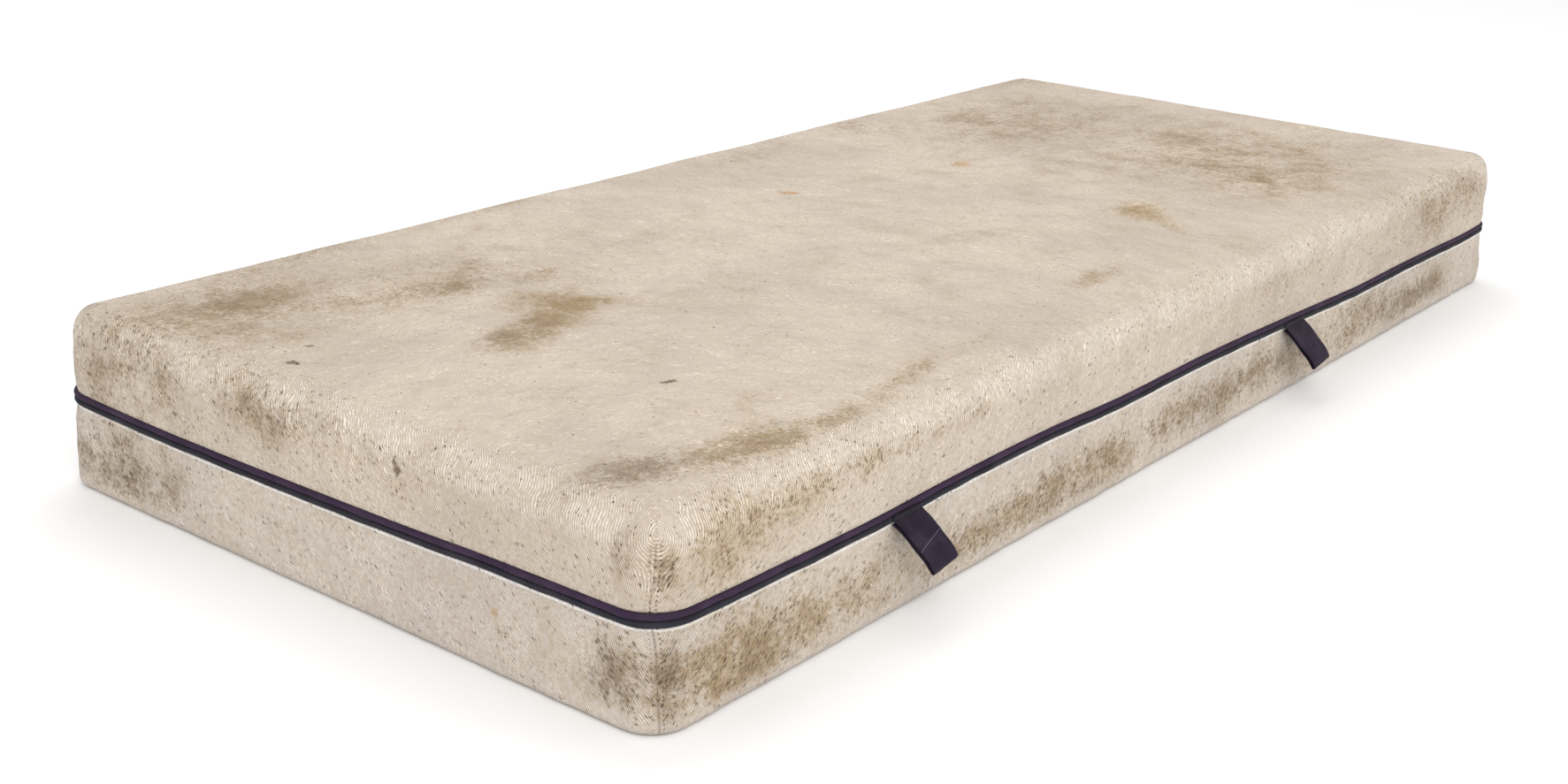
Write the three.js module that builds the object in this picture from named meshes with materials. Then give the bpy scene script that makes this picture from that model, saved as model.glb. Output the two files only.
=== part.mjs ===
import * as THREE from 'three';

// A single-bed mattress: a filled knit cover with a rounded top edge and sides that are drawn in
// a little, a sewn channel round the sides that holds two rolled tapes, and two webbing pull
// straps on one long side. Sizes are millimetres. +X runs along the length and +Z is up. The
// origin is the middle of the flat base, and the straps are on the -Y side.

const length = 2000;
const width = 912;
const height = 208;
const crownRise = 6;
const cornerRadius = 45;
const topEdgeRadius = 39;
const baseEdgeRadius = 11;
const seamDepth = 1.6;
const seamHalfAngle = 5;

const tapeHeight = 7;
const tapeGap = 0.3;
const tapeProud = 1.2;
const channelDepth = 5.8;

const strapThickness = 1.6;
const strapFoldSkew = { out: 4.6, drop: 2.6 };
const strapSewnBelow = 3.4;
const steepenQuickly = 4;

// How far the sides are drawn in at each height above the base.
const drawnInSides = [
  { height: 0, inset: 1 },
  { height: 52, inset: 3.4 },
  { height: 104, inset: 4.4 },
  { height: 156, inset: 6.4 },
  { height: 172, inset: 7.6 },
  { height: 190, inset: 4.8 },
  { height: 208, inset: 0 },
];

// The middle of the double tape, round the mattress from the corner at +X +Y: along the side at
// +Y to 2000, the end at -X to 2912, the side at -Y to 4912 and the end at +X to 5824. It was
// sewn by hand and isn't level.
const tapeLine = [
  { along: 0, height: 99 },
  { along: 700, height: 101 },
  { along: 1400, height: 103 },
  { along: 2000, height: 106.8 },
  { along: 2090, height: 104.2 },
  { along: 2240, height: 102.4 },
  { along: 2350, height: 103.2 },
  { along: 2470, height: 104.8 },
  { along: 2590, height: 106.8 },
  { along: 2680, height: 109.6 },
  { along: 2840, height: 111.7 },
  { along: 2912, height: 112.4 },
  { along: 3010, height: 110.2 },
  { along: 3090, height: 109.1 },
  { along: 3230, height: 108 },
  { along: 3350, height: 110.6 },
  { along: 3560, height: 110.8 },
  { along: 3700, height: 106 },
  { along: 3930, height: 105.9 },
  { along: 4130, height: 101.3 },
  { along: 4280, height: 96.4 },
  { along: 4390, height: 93.1 },
  { along: 4540, height: 93.3 },
  { along: 4690, height: 91.7 },
  { along: 4790, height: 90.1 },
  { along: 4912, height: 93 },
  { along: 5360, height: 97 },
  { along: 5824, height: 99 },
];

// How much the seam pulls the cover in, at each distance above or below the double tape.
const pulledIn = [
  { beyond: 20, inset: 0 },
  { beyond: 6, inset: 1.1 },
  { beyond: 0, inset: 2 },
];

// Where the straps hang on the side at -Y, how wide they are, and how many degrees steeper than
// the path below they hang.
const straps = [
  { name: 'pull_strap_left', middle: -627, width: 48, steeper: 0 },
  { name: 'pull_strap_right', middle: 263, width: 55, steeper: 5 },
];

// The middle of a strap's webbing: how far it stands out from the cover, and how far it has
// dropped below the seam. It starts on the lower tape, folds at the bottom and comes back.
const strapPath = [
  { out: 2.3, drop: -4 },
  { out: 2.3, drop: -0.9 },
  { out: 4.2, drop: 1.6 },
  { out: 9, drop: 4.6 },
  { out: 16, drop: 8.8 },
  { out: 22.6, drop: 13.8 },
  { out: 29, drop: 19.2 },
  { out: 36.4, drop: 24.7 },
  { out: 45, drop: 31.4 },
  { out: 50, drop: 36.8 },
  { out: 52.8, drop: 40.4 },
  { out: 53.2, drop: 42.6 },
  { out: 51.6, drop: 43.6 },
  { out: 49.6, drop: 42.2 },
  { out: 46.9, drop: 39.3 },
  { out: 42.2, drop: 34.2 },
  { out: 34, drop: 27.9 },
  { out: 26.5, drop: 22.2 },
  { out: 20, drop: 16.8 },
  { out: 13.8, drop: 12.2 },
  { out: 7.4, drop: 8.4 },
  { out: 3.2, drop: 6.6 },
  { out: 0.5, drop: 5.2 },
];

const longSideSteps = 20;
const endSteps = 10;
const cornerSteps = 4;
const tapeSectionSides = 8;
const strapSteps = 44;
const smallestCorner = 6;

// Heights of the rings below and above the tape, the turns of the two rounded edges in degrees,
// and how far in from the sides the rings of the top lie.
const lowerSideHeights = [30, 52];
const upperSideHeights = [156];
const baseEdgeTurns = [0, 35, 65, 90];
const topEdgeTurns = [0, 18, 36, 54, 72, 90];
const topInsets = [75, 140, 240, 360];

const coverColour = new THREE.Color(0.79, 0.73, 0.63);
const upperTapeColour = new THREE.Color(0.2, 0.14, 0.26);
const lowerTapeColour = new THREE.Color(0.16, 0.18, 0.23);
const webbingColour = new THREE.Color(0.17, 0.13, 0.21);

const rightAngle = Math.PI / 2;
const perimeter = 2 * (length + width);

// A smooth curve through a table's rows, as a function of one of its columns.
function smoothTable(rows, from, to) {
  const keys = rows.map((row) => row[from]);
  const values = rows.map((row) => row[to]);
  const curve = new THREE.CubicInterpolant(keys, values, 1);
  const last = keys[keys.length - 1];
  return (key) => curve.evaluate(Math.min(Math.max(key, keys[0]), last))[0];
}

const drawnIn = smoothTable(drawnInSides, 'height', 'inset');
const tapeHeightAt = smoothTable(tapeLine, 'along', 'height');
const tapeInset = drawnIn(height / 2);

// The stations round the outline, anticlockwise from above. Each has its place on the inner
// rectangle, as shares of half its length and width, and the direction in which it faces.
function outlineStations() {
  const corners = [
    { acrossX: 1, acrossY: 1, corner: 0, side: length, steps: longSideSteps },
    { acrossX: -1, acrossY: 1, corner: length, side: width, steps: endSteps },
    { acrossX: -1, acrossY: -1, corner: length + width, side: length, steps: longSideSteps },
    { acrossX: 1, acrossY: -1, corner: 2 * length + width, side: width, steps: endSteps },
  ];
  const stations = [];
  corners.forEach((here, index) => {
    const next = corners[(index + 1) % corners.length];
    const startAngle = index * rightAngle;
    const middleAngle = startAngle + rightAngle / 2;
    const seam = THREE.MathUtils.degToRad(seamHalfAngle);
    const angles = [];
    for (let step = 0; step < cornerSteps; step += 1) {
      angles.push(startAngle + (step / cornerSteps) * (rightAngle / 2 - seam));
    }
    angles.push(middleAngle - seam, middleAngle, middleAngle + seam);
    for (let step = 1; step <= cornerSteps; step += 1) {
      const share = step / cornerSteps;
      angles.push(middleAngle + seam + share * (rightAngle / 2 - seam));
    }
    for (const angle of angles) {
      const turned = (angle - startAngle) / rightAngle;
      stations.push({
        acrossX: here.acrossX,
        acrossY: here.acrossY,
        angle,
        along: (here.corner + (2 * turned - 1) * cornerRadius + perimeter) % perimeter,
        seam: angle === middleAngle ? 1 : 0,
      });
    }
    for (let step = 1; step < here.steps; step += 1) {
      const share = step / here.steps;
      stations.push({
        acrossX: THREE.MathUtils.lerp(here.acrossX, next.acrossX, share),
        acrossY: THREE.MathUtils.lerp(here.acrossY, next.acrossY, share),
        angle: startAngle + rightAngle,
        along: here.corner + cornerRadius + share * (here.side - 2 * cornerRadius),
        seam: 0,
      });
    }
  });
  return stations;
}

const stations = outlineStations();

// A station's place in plan, on an outline drawn in by inset and with corners of radius.
function planPoint(station, inset, radius, seamPull) {
  const innerX = length / 2 - inset - radius;
  const innerY = width / 2 - inset - radius;
  const reach = radius - seamPull * station.seam;
  return {
    x: station.acrossX * innerX + reach * Math.cos(station.angle),
    y: station.acrossY * innerY + reach * Math.sin(station.angle),
  };
}

// The soft rise of the top, nothing at its edges and most in the middle.
function crown(x, y) {
  const alongShare = Math.min(Math.abs(x) / (length / 2), 1);
  const acrossShare = Math.min(Math.abs(y) / (width / 2), 1);
  return crownRise * (1 - alongShare ** 4) * (1 - acrossShare ** 2);
}

// One ring of points: arcInset is how far a rounded edge has turned in at this height.
function ring(heightAt, inset, arcInset, seamPull) {
  const radius = Math.max(cornerRadius - arcInset, smallestCorner);
  return stations.map((station) => {
    const z = heightAt(station);
    const { x, y } = planPoint(station, inset + arcInset, radius, seamPull);
    return new THREE.Vector3(x, y, z);
  });
}

// Rings from the base's rim to the top's middle.
function mattressRings() {
  const rings = [];
  const level = (z) => () => z;
  const sideRing = (heightAt, extra) => {
    rings.push(ring(heightAt, tapeInset, extra, seamDepth));
  };
  for (const degrees of baseEdgeTurns) {
    const turn = THREE.MathUtils.degToRad(degrees);
    const z = baseEdgeRadius * (1 - Math.cos(turn));
    rings.push(ring(level(z), drawnIn(z), baseEdgeRadius * (1 - Math.sin(turn)), 0));
  }
  for (const z of lowerSideHeights) {
    rings.push(ring(level(z), drawnIn(z), 0, seamDepth));
  }
  const lip = tapeHeight + tapeGap;
  const beside = (offset) => (station) => tapeHeightAt(station.along) + offset;
  for (const { beyond, inset } of pulledIn) {
    sideRing(beside(-lip - beyond), inset);
  }
  sideRing(beside(-lip + tapeGap), channelDepth);
  sideRing(beside(lip - tapeGap), channelDepth);
  for (const { beyond, inset } of pulledIn.toReversed()) {
    sideRing(beside(lip + beyond), inset);
  }
  for (const z of upperSideHeights) {
    rings.push(ring(level(z), drawnIn(z), 0, seamDepth));
  }
  for (const degrees of topEdgeTurns) {
    const turn = THREE.MathUtils.degToRad(degrees);
    const z = height - topEdgeRadius * (1 - Math.sin(turn));
    const turnedIn = topEdgeRadius * (1 - Math.cos(turn));
    rings.push(ring(level(z), drawnIn(z), turnedIn, seamDepth * Math.cos(turn)));
  }
  for (const inset of topInsets) {
    rings.push(ring(level(height), 0, inset, 0));
  }
  for (const points of rings.slice(-topInsets.length - 1)) {
    for (const point of points) {
      point.z += crown(point.x, point.y);
    }
  }
  return rings;
}

// Joins rings of points into a skin, and closes its ends flat or joins its last ring to its first.
function skin(rings, joined) {
  const count = rings[0].length;
  const positions = rings.flatMap((points) => points.flatMap((point) => point.toArray()));
  const faces = [];
  const rows = joined ? rings.length : rings.length - 1;
  for (let row = 0; row < rows; row += 1) {
    const low = row * count;
    const high = ((row + 1) % rings.length) * count;
    for (let here = 0; here < count; here += 1) {
      const next = (here + 1) % count;
      faces.push(low + here, low + next, high + next);
      faces.push(low + here, high + next, high + here);
    }
  }
  if (!joined) {
    const plan = (points) => points.map((point) => new THREE.Vector2(point.x, point.y));
    const top = (rings.length - 1) * count;
    for (const [a, b, c] of THREE.ShapeUtils.triangulateShape(plan(rings[0]), [])) {
      faces.push(a, c, b);
    }
    for (const [a, b, c] of THREE.ShapeUtils.triangulateShape(plan(rings.at(-1)), [])) {
      faces.push(top + a, top + b, top + c);
    }
  }
  const geometry = new THREE.BufferGeometry();
  geometry.setAttribute('position', new THREE.Float32BufferAttribute(positions, 3));
  geometry.setIndex(faces);
  geometry.computeVertexNormals();
  return geometry;
}

function piece(name, geometry, color, roughness) {
  const material = new THREE.MeshStandardMaterial({ color, roughness, metalness: 0 });
  const mesh = new THREE.Mesh(geometry, material);
  mesh.name = name;
  return mesh;
}

// A rolled tape right round the mattress, side is 1 for the upper one and -1 for the lower one.
function tape(name, side, color) {
  const halfHeight = (tapeHeight - tapeGap) / 2;
  const backOut = tapeGap - channelDepth;
  const halfDepth = (tapeProud - backOut) / 2;
  const middleOut = (tapeProud + backOut) / 2;
  const rings = [];
  for (let step = 0; step < tapeSectionSides; step += 1) {
    const turn = (step / tapeSectionSides) * 4 * rightAngle;
    const out = middleOut + halfDepth * Math.cos(turn);
    const up = side * (tapeHeight / 2) + halfHeight * Math.sin(turn);
    const heightAt = (station) => tapeHeightAt(station.along) + up;
    const radius = cornerRadius + out;
    rings.push(stations.map((station) => {
      const { x, y } = planPoint(station, tapeInset - out, radius, 0);
      return new THREE.Vector3(x, y, heightAt(station));
    }));
  }
  return piece(name, skin(rings, true), color, 0.8);
}

// A strap's section is its path with the webbing's thickness, drawn out to the webbing's width.
function strap({ name, middle, width: strapWidth, steeper }) {
  const path = new THREE.CatmullRomCurve3(
    strapPath.map(({ out, drop }) => new THREE.Vector3(out, -drop, 0)),
  );
  const outerFace = [];
  const innerFace = [];
  for (let step = 0; step <= strapSteps; step += 1) {
    const share = step / strapSteps;
    const point = path.getPoint(share);
    const along = path.getTangent(share);
    const across = new THREE.Vector2(-along.y, along.x).multiplyScalar(strapThickness / 2);
    outerFace.push(new THREE.Vector2(point.x + across.x, point.y + across.y));
    innerFace.unshift(new THREE.Vector2(point.x - across.x, point.y - across.y));
  }
  const section = new THREE.Shape([...outerFace, ...innerFace]);
  const geometry = new THREE.ExtrudeGeometry(section, {
    depth: strapWidth,
    bevelEnabled: false,
    steps: 1,
  });
  const reach = Math.max(...strapPath.map((row) => row.out));
  const turn = THREE.MathUtils.degToRad(steeper);
  const position = geometry.attributes.position;
  for (let index = 0; index < position.count; index += 1) {
    const out = position.getX(index);
    const up = position.getY(index);
    const hanging = Math.max(out / reach, 0) ** 2;
    const skewed = hanging * (1 - position.getZ(index) / strapWidth);
    const bend = turn * Math.min(Math.max(out / reach, 0) * steepenQuickly, 1);
    const newOut = out * Math.cos(bend) + up * Math.sin(bend);
    const newUp = up * Math.cos(bend) - out * Math.sin(bend);
    position.setX(index, newOut - strapFoldSkew.out * skewed);
    position.setY(index, newUp + strapFoldSkew.drop * skewed);
  }
  const along = length + width + length / 2 + middle;
  const seamHeight = tapeHeightAt(along) - strapSewnBelow;
  const mesh = piece(name, geometry, webbingColour, 0.85);
  const turned = new THREE.Matrix4().makeBasis(
    new THREE.Vector3(0, -1, 0),
    new THREE.Vector3(0, 0, 1),
    new THREE.Vector3(-1, 0, 0),
  );
  mesh.quaternion.setFromRotationMatrix(turned);
  mesh.position.set(middle + strapWidth / 2, tapeInset - width / 2, seamHeight);
  return mesh;
}

const mattress = new THREE.Group();
mattress.add(piece('mattress', skin(mattressRings(), false), coverColour, 0.95));
mattress.add(tape('binding_upper', 1, upperTapeColour));
mattress.add(tape('binding_lower', -1, lowerTapeColour));
for (const place of straps) {
  mattress.add(strap(place));
}

export default mattress;
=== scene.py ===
import math

import bpy
import numpy as np
from mathutils import Matrix, Vector


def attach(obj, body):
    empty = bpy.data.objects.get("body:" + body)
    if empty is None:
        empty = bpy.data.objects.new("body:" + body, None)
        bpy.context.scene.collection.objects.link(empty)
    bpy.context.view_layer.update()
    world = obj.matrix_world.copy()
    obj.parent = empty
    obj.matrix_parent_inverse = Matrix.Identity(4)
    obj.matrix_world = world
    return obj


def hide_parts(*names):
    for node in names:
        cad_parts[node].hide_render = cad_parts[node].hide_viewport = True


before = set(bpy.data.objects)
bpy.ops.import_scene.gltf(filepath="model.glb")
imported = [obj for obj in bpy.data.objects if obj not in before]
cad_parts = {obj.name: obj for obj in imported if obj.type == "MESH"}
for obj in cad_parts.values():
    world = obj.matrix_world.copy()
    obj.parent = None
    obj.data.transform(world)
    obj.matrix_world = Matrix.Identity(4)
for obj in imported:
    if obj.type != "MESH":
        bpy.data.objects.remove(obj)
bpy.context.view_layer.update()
mm = 0.001


# camera, at the photo's viewing angle

photoCamera = {
    "place": (-2.1185, -1.4618, 0.8805),
    "yaw": 38.09,  # degrees from +X towards +Y
    "pitch": 19.92,  # degrees down
    "roll": 1.78,
    "focalPixels": 2221.3,
    "imageWidth": 1773,
}


def makeCamera(values):
    yaw, pitch, roll = (math.radians(values[key]) for key in ("yaw", "pitch", "roll"))
    forward = Vector((math.cos(yaw) * math.cos(pitch), math.sin(yaw) * math.cos(pitch),
                      -math.sin(pitch)))
    level = Vector((math.sin(yaw), -math.cos(yaw), 0))
    upright = level.cross(forward)
    right = math.cos(roll) * level + math.sin(roll) * upright
    up = math.cos(roll) * upright - math.sin(roll) * level
    lens = bpy.data.cameras.new("photoCamera")
    lens.sensor_fit = "HORIZONTAL"
    lens.sensor_width = 36
    lens.lens = values["focalPixels"] / values["imageWidth"] * lens.sensor_width
    camera = bpy.data.objects.new("photoCamera", lens)
    turned = Matrix((right, up, -forward)).transposed().to_4x4()
    camera.matrix_world = Matrix.Translation(values["place"]) @ turned
    bpy.context.scene.collection.objects.link(camera)
    bpy.context.scene.camera = camera


makeCamera(photoCamera)
print("camera ready")


# the mattress's own shape, in millimetres, as the solids have it

body = {
    "length": 2000,
    "width": 912,
    "height": 208,
    "crownRise": 6,
    "cornerRadius": 45,
    "topEdgeRadius": 39,
    "baseEdgeRadius": 11,
    "seamDepth": 1.6,
    "seamHalfWidth": 1.3,
    "seamSkirt": 7,  # the cloth beside a corner's seam goes in as well
    "skirtShare": 0.35,
    "channelDepth": 5.8,
    "smallestCorner": 6,
}
drawnInSides = {"height": (0, 52, 104, 156, 172, 190, 208),
                "inset": (1, 3.4, 4.4, 6.4, 7.6, 4.8, 0)}
tapeLine = {  # along: from the corner at +X +Y, anticlockwise from above
    "along": (0, 700, 1400, 2000, 2090, 2240, 2350, 2470, 2590, 2680, 2840, 2912, 3010, 3090,
              3230, 3350, 3560, 3700, 3930, 4130, 4280, 4390, 4540, 4690, 4790, 4912, 5360, 5824),
    "height": (99, 101, 103, 106.8, 104.2, 102.4, 103.2, 104.8, 106.8, 109.6, 111.7, 112.4, 110.2,
               109.1, 108, 110.6, 110.8, 106, 105.9, 101.3, 96.4, 93.1, 93.3, 91.7, 90.1, 93,
               97, 99),
}
pulledIn = {"beyond": (0, 6, 20), "inset": (2, 1.1, 0)}  # how the seam pulls the cover in
# the corner seams aren't quite upright: how far each is pulled to the right at each height
seamLean = {"height": (0, 60, 92, 112, 160, 205),
            "shift": ((0, 0, 0, 0, 0, 0), (1, -1, 0, 1, 2, 0),
                      (4.5, 1.5, -0.5, -4.5, -1, 1.5), (0, 1, 1, -1, -2, 0))}
perimeter = 2 * (body["length"] + body["width"])


# A smooth curve through a table's rows, for arrays.
def smoothTable(keys, values):
    keys, values = np.array(keys, float), np.array(values, float)
    slopes = np.gradient(values, keys)

    def evaluate(at):
        at = np.clip(at, keys[0], keys[-1])
        index = np.clip(np.searchsorted(keys, at, "right") - 1, 0, len(keys) - 2)
        gap = keys[index + 1] - keys[index]
        s = (at - keys[index]) / gap
        return ((2 * s**3 - 3 * s**2 + 1) * values[index]
                + (s**3 - 2 * s**2 + s) * gap * slopes[index]
                + (3 * s**2 - 2 * s**3) * values[index + 1]
                + (s**3 - s**2) * gap * slopes[index + 1])

    return evaluate


drawnIn = smoothTable(drawnInSides["height"], drawnInSides["inset"])
tapeLevel = smoothTable(tapeLine["along"], tapeLine["height"])
tapeInset = float(drawnIn(body["height"] / 2))


# Smooth random lumps of about one size, mostly between -1 and 1.
def lumps(places, size, seed, waves=26):
    draw = np.random.default_rng(seed)
    directions = draw.normal(size=(waves, places.shape[-1]))
    directions /= np.linalg.norm(directions, axis=1, keepdims=True)
    pace = 2 * np.pi / (size * draw.uniform(0.75, 1.6, waves))
    starts = draw.uniform(0, 2 * np.pi, waves)
    turns = places @ (directions * pace[:, None]).T + starts
    return np.cos(turns).sum(axis=-1) / math.sqrt(waves)


def smoothStep(low, high, at):
    share = np.clip((at - low) / (high - low), 0, 1)
    return share * share * (3 - 2 * share)


# stations round the outline, anticlockwise from above, starting at the middle of the end at +X

outline = {
    "sideSpacing": 7.5,
    "nearSeam": (0, 0.7, 1.4, 2.2, 3.2, 4.6, 6.5, 9, 12, 15.5, 19.5, 24, 29),  # from the seam
}


def makeStations(values):
    radius, length, width = body["cornerRadius"], body["length"], body["width"]
    corners = [(1, 1, 0, length), (-1, 1, length, width), (-1, -1, length + width, length),
               (1, -1, 2 * length + width, width)]
    offsets = [*(-d for d in reversed(values["nearSeam"][1:])), *values["nearSeam"]]
    quarter = radius * math.pi / 4
    offsets = np.array([-quarter, *offsets, quarter])
    rows = []
    for index, (acrossX, acrossY, corner, side) in enumerate(corners):
        nextX, nextY = corners[(index + 1) % 4][:2]
        for offset in offsets:
            angle = index * math.pi / 2 + math.pi / 4 + offset / radius
            along = corner + offset / quarter * radius
            rows.append((acrossX, acrossY, angle, along, offset, index))
        steps = 2 * round((side - 2 * radius) / values["sideSpacing"] / 2)
        for step in range(1, steps):
            share = step / steps
            along = corner + radius + share * (side - 2 * radius)
            fromSeam = (share if share < 0.5 else share - 1) * side
            rows.append((acrossX + share * (nextX - acrossX), acrossY + share * (nextY - acrossY),
                         (index + 1) * math.pi / 2, along, fromSeam, index))
    rows = np.array(rows)
    middle = int(np.argmin(np.abs(rows[:, 3] - (perimeter - width / 2))))
    rows = np.roll(rows, -middle, axis=0)
    acrossX, acrossY, angle, along, offset, index = rows.T
    corner = (index.astype(int) + (np.abs(offset) > quarter) * (offset < 0)) % 4
    return {"acrossX": acrossX, "acrossY": acrossY, "angle": angle, "along": along % perimeter,
            "offset": offset, "fromSeam": np.abs(offset), "corner": corner, "count": len(rows)}


stations = makeStations(outline)
seamPull = (np.exp(-(stations["fromSeam"] / body["seamHalfWidth"]) ** 2)
            + body["skirtShare"] * np.exp(-(stations["fromSeam"] / body["seamSkirt"]) ** 2)
            ) / (1 + body["skirtShare"])
levelHere = tapeLevel(stations["along"])
leanHere = [smoothTable(seamLean["height"], shifts) for shifts in seamLean["shift"]]


def planPoints(inset, radius, pull=0.0, z=None, endBulge=0.0):
    innerX = body["length"] / 2 - inset - radius
    innerY = body["width"] / 2 - inset - radius
    reach = radius - pull * seamPull
    angle = stations["angle"]
    if z is not None:
        shift = np.choose(stations["corner"], [lean(z) for lean in leanHere])
        angle = angle + shift / body["cornerRadius"] * np.exp(-(stations["offset"] / 15) ** 2)
    bulge = endBulge * (1 - stations["acrossY"] ** 2)
    return (stations["acrossX"] * innerX + (reach + bulge) * np.cos(angle),
            stations["acrossY"] * innerY + reach * np.sin(angle))


def crown(x, y):
    alongShare = np.clip(np.abs(x) / (body["length"] / 2), 0, 1)
    acrossShare = np.clip(np.abs(y) / (body["width"] / 2), 0, 1)
    return body["crownRise"] * (1 - alongShare**4) * (1 - acrossShare**2)


# A mesh piece from points in millimetres, with a corner attribute for each named array.
def makeMesh(name, points, faces, material, cornerValues=None):
    points, faces = np.asarray(points, float).reshape(-1, 3), np.asarray(faces, int)
    mesh = bpy.data.meshes.new(name)
    mesh.vertices.add(len(points))
    mesh.vertices.foreach_set("co", (points * mm).astype(np.float32).ravel())
    corners = faces.shape[1]
    mesh.loops.add(faces.size)
    mesh.loops.foreach_set("vertex_index", faces.ravel().astype(np.int32))
    mesh.polygons.add(len(faces))
    mesh.polygons.foreach_set("loop_start", np.arange(0, faces.size, corners, dtype=np.int32))
    mesh.update(calc_edges=True)
    mesh.validate()
    for label, values in (cornerValues or {}).items():
        layer = mesh.attributes.new(label, "FLOAT", "CORNER")
        layer.data.foreach_set("value", np.asarray(values, np.float32).ravel())
    mesh.polygons.foreach_set("use_smooth", np.ones(len(faces), bool))
    mesh.materials.append(material)
    piece = bpy.data.objects.new(name, mesh)
    bpy.context.scene.collection.objects.link(piece)
    return piece


def tuckInto(piece, slot, *nodes):
    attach(piece, "root")
    if nodes:
        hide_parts(*nodes)


# small builders for shader nodes

def makeNode(tree, kind, **settings):
    node = tree.nodes.new(kind)
    for key, value in settings.items():
        setattr(node, key, value)
    return node


def feed(tree, socket, value):
    if isinstance(value, bpy.types.NodeSocket):
        tree.links.new(value, socket)
    else:
        socket.default_value = value


def calc(tree, operation, *values, clamp=False):
    node = makeNode(tree, "ShaderNodeMath", operation=operation, use_clamp=clamp)
    for socket, value in zip(node.inputs, values):
        feed(tree, socket, value)
    return node.outputs[0]


def times(tree, first, second):
    return calc(tree, "MULTIPLY", first, second)


def calcVector(tree, operation, first, second=None):
    node = makeNode(tree, "ShaderNodeVectorMath", operation=operation)
    feed(tree, node.inputs[0], first)
    if operation == "SCALE":
        feed(tree, node.inputs["Scale"], second)
    elif second is not None:
        feed(tree, node.inputs[1], second)
    return node.outputs["Value" if operation in ("LENGTH", "DOT_PRODUCT") else "Vector"]


def fade(tree, value, low, high, start=0.0, end=1.0):
    node = makeNode(tree, "ShaderNodeMapRange", interpolation_type="SMOOTHSTEP")
    for socket, entry in zip(node.inputs, (value, low, high, start, end)):
        feed(tree, socket, entry)
    return node.outputs[0]


def mixColours(tree, factor, first, second, blend="MIX"):
    node = makeNode(tree, "ShaderNodeMix", data_type="RGBA", blend_type=blend)
    for index, entry in ((0, factor), (6, first), (7, second)):
        feed(tree, node.inputs[index], (*entry, 1) if isinstance(entry, tuple) else entry)
    return node.outputs[2]


def tinted(tree, colour, mask, strength, tint):
    return mixColours(tree, times(tree, mask, strength), colour, tint)


def scaled(colour, factor):
    return tuple(part * factor for part in colour)


def mixValues(tree, factor, first, second):
    node = makeNode(tree, "ShaderNodeMix", data_type="FLOAT")
    for index, entry in ((0, factor), (2, first), (3, second)):
        feed(tree, node.inputs[index], entry)
    return node.outputs[0]


def cloud(tree, place, size, detail=2.0, roughness=0.5, colour=False):
    node = makeNode(tree, "ShaderNodeTexNoise")
    feed(tree, node.inputs["Vector"], place)
    node.inputs["Scale"].default_value = 1 / size
    node.inputs["Detail"].default_value = detail
    node.inputs["Roughness"].default_value = roughness
    return node.outputs["Color" if colour else 0]


def readValue(tree, label):
    return makeNode(tree, "ShaderNodeAttribute", attribute_name=label).outputs["Fac"]


# The place on the mattress in millimetres.
def readPlace(tree):
    return calcVector(tree, "SCALE", makeNode(tree, "ShaderNodeTexCoord").outputs["Object"], 1000.0)


def newGroup(name, inputs, outputs):
    group = bpy.data.node_groups.new(name, "ShaderNodeTree")
    for label, kind, start in inputs:
        socket = group.interface.new_socket(label, in_out="INPUT", socket_type="NodeSocket" + kind)
        if start is not None:
            socket.default_value = start
    for label, kind in outputs:
        group.interface.new_socket(label, in_out="OUTPUT", socket_type="NodeSocket" + kind)
    given = group.nodes.new("NodeGroupInput").outputs
    result = group.nodes.new("NodeGroupOutput").inputs
    return group, given, result


def useGroup(tree, group, values):
    node = makeNode(tree, "ShaderNodeGroup", node_tree=group)
    for label, value in values.items():
        feed(tree, node.inputs[label], value)
    return node.outputs


def newMaterial(name, roughness, sheen=0.0, specular=0.5):
    material = bpy.data.materials.new(name)
    material.use_nodes = True
    shader = material.node_tree.nodes["Principled BSDF"]
    shader.inputs["Roughness"].default_value = roughness
    shader.inputs["Sheen Weight"].default_value = sheen
    shader.inputs["Specular IOR Level"].default_value = specular
    return material, material.node_tree, shader.inputs


def addBump(tree, shader, height, distance):
    node = makeNode(tree, "ShaderNodeBump")
    node.inputs["Strength"].default_value = 1.0
    node.inputs["Distance"].default_value = distance * mm
    feed(tree, node.inputs["Height"], height)
    tree.links.new(node.outputs[0], shader["Normal"])


# effects shared by several materials

# A patch with a ragged, soft edge: 1 inside and 0 outside.
def makeStainPatch():
    group, given, result = newGroup(
        "stainPatch",
        [("Place", "Vector", None), ("Wander", "Vector", None), ("Centre", "Vector", None),
         ("Reach", "Vector", None), ("Turn", "Float", 0.0), ("Softness", "Float", 0.5),
         ("Ragged", "Float", 0.6)],
        [("Mask", "Float")])
    fromCentre = calcVector(group, "SUBTRACT", given["Place"], given["Centre"])
    turned = makeNode(group, "ShaderNodeVectorRotate", rotation_type="Z_AXIS")
    feed(group, turned.inputs["Vector"], fromCentre)
    feed(group, turned.inputs["Angle"], times(group, given["Turn"], -1.0))
    shares = calcVector(group, "DIVIDE", turned.outputs[0], given["Reach"])
    wandering = calcVector(group, "SCALE", given["Wander"], given["Ragged"])
    reached = calcVector(group, "LENGTH", calcVector(group, "ADD", shares, wandering))
    inner = calc(group, "SUBTRACT", 1.0, given["Softness"])
    outer = calc(group, "ADD", 1.0, given["Softness"])
    feed(group, result["Mask"], fade(group, reached, outer, inner))
    return group


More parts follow.
